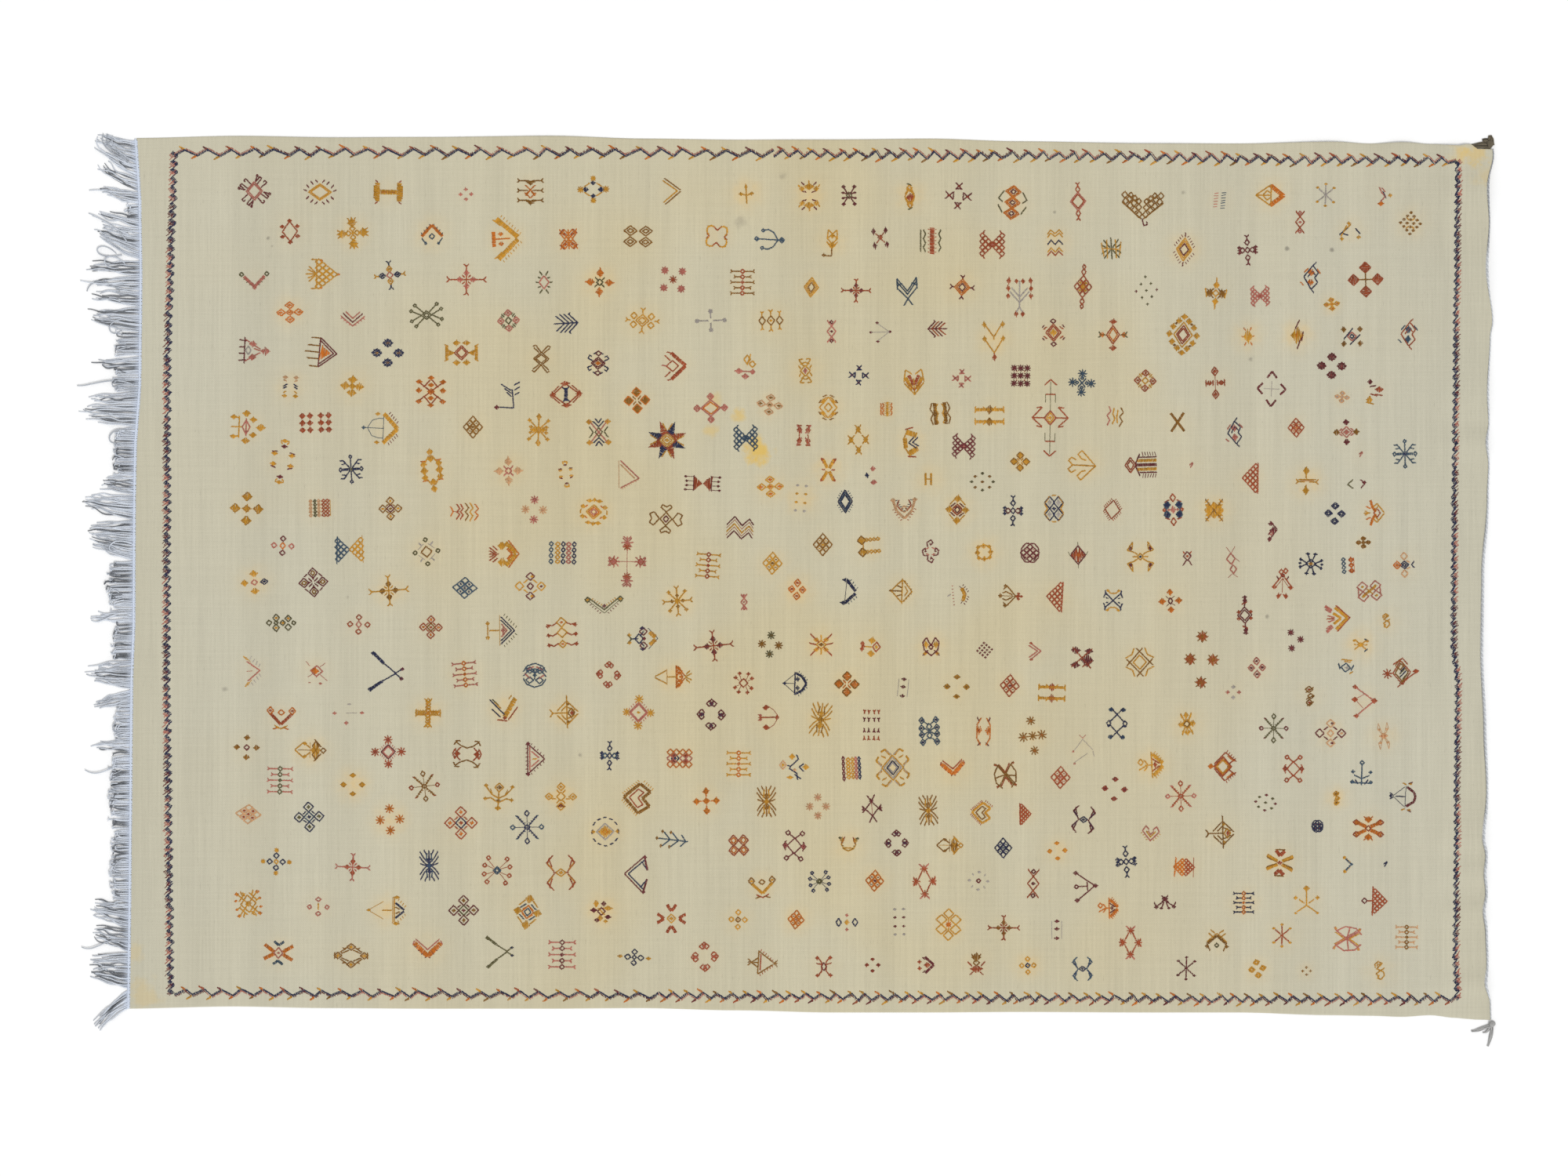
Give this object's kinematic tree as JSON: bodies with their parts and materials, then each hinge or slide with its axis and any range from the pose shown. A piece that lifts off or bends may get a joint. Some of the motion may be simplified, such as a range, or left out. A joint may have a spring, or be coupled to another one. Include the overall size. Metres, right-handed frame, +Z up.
{
  "type": "needlepoint rug",
  "caption": "Flatwoven wool rug with scattered needlepoint motifs, a zigzag border line, a cotton warp fringe and a corded, scalloped end",
  "frame": {"origin": "on the floor plane, below the middle of the whole rug with its fringe and tassels", "axes": "+X along the rug to its corded end, +Y across it to its upper long edge as the picture shows it, +Z up from the floor"},
  "size_m": [2.5942, 1.6716, 0.0147],
  "materials": {
    "wool": "matt undyed wool flatweave",
    "cotton": "matt grey-white twisted cotton"
  },
  "bodies": {
    "root": {"cloth": "wool", "fringe": "cotton", "end_cord": "cotton", "lower_tassel": "cotton", "upper_tassel": "cotton"}
  },
  "joints": []
}
